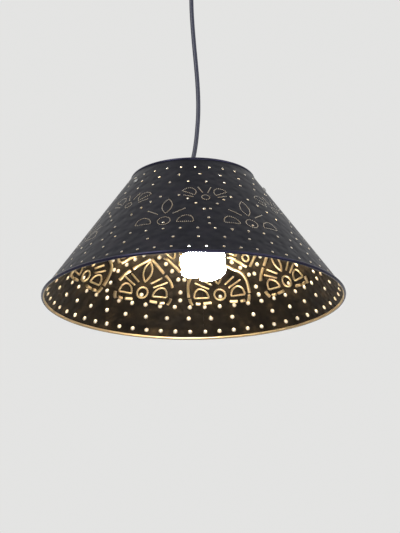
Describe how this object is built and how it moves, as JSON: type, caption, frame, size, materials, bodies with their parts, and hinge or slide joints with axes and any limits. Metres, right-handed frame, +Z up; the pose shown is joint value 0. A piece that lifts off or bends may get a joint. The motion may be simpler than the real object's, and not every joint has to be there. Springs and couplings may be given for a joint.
{
  "type": "pendant lamp",
  "caption": "Pendant lamp with a wide conical shade of dark pierced sheet metal, a compact spiral bulb in a screw holder, a round cord and a ceiling hook under a canopy.",
  "frame": {"origin": "centre of the ceiling plate's top face, where it lies against the ceiling", "axes": "+Z up, along the hanging lamp; -Y towards the viewer of the picture; +X to the viewer's right"},
  "size_m": [0.4, 0.4, 0.5197],
  "materials": {
    "dark_sheet": "dark patina outside, aged brass inside, semi gloss",
    "ring_brass": "aged, rolled edge",
    "brass_fittings": "satin",
    "zinc_steel": "zinc plated",
    "black_plastic": "matt moulded",
    "cream_plastic": "matt moulded",
    "white_plastic": "smooth",
    "ceramic": null,
    "cord_sheath": "smooth flexible sheath",
    "lit_glass": null
  },
  "bodies": {
    "ceiling": {"ceiling_plate": "zinc_steel", "ceiling_hook": "zinc_steel", "hook_nut": "zinc_steel", "canopy": "dark_sheet", "canopy_screw_left": "brass_fittings", "canopy_screw_right": "brass_fittings", "terminal_block": "cream_plastic"},
    "link": {"hanging_link": "zinc_steel"},
    "pendant": {"cord_grip_eye": "black_plastic", "cord_grip_nut": "black_plastic", "cord": "cord_sheath", "spider": "zinc_steel", "shade": "dark_sheet", "bottom_rim_ring": "ring_brass", "top_rim_ring": "ring_brass", "spider_rivet_1": "zinc_steel", "spider_rivet_2": "zinc_steel", "spider_rivet_3": "zinc_steel", "holder_nipple": "black_plastic", "holder_cap": "black_plastic", "holder_core": "ceramic", "centre_contact": "brass_fittings", "screw_shell": "brass_fittings", "holder_sleeve": "black_plastic", "upper_shade_ring": "black_plastic"},
    "shade_ring": {"lower_shade_ring": "black_plastic"},
    "bulb": {"bulb_tip": "zinc_steel", "bulb_insulator": "black_plastic", "bulb_cap": "zinc_steel", "ballast_housing": "white_plastic", "ballast_lid": "white_plastic", "spiral_tube": "lit_glass"}
  },
  "joints": [
    {"name": "swing_fore_aft", "type": "hinge", "parent": "ceiling", "child": "link", "pos_m": [0, 0, -0.031], "axis": [1, 0, 0], "range_deg": [-12, 12]},
    {"name": "swing_side", "type": "hinge", "parent": "link", "child": "pendant", "pos_m": [0, 0, -0.0432], "axis": [0, 1, 0], "range_deg": [-12, 12]},
    {"name": "ring_unscrew", "type": "hinge", "parent": "pendant", "child": "shade_ring", "pos_m": [0.00452, 0, -0.3748], "axis": [0.0872, 0, -0.9962], "range_deg": [0, 1080]},
    {"name": "bulb_unscrew", "type": "hinge", "parent": "pendant", "child": "bulb", "pos_m": [0.00452, 0, -0.3748], "axis": [0.0872, 0, -0.9962], "range_deg": [0, 1080]}
  ]
}
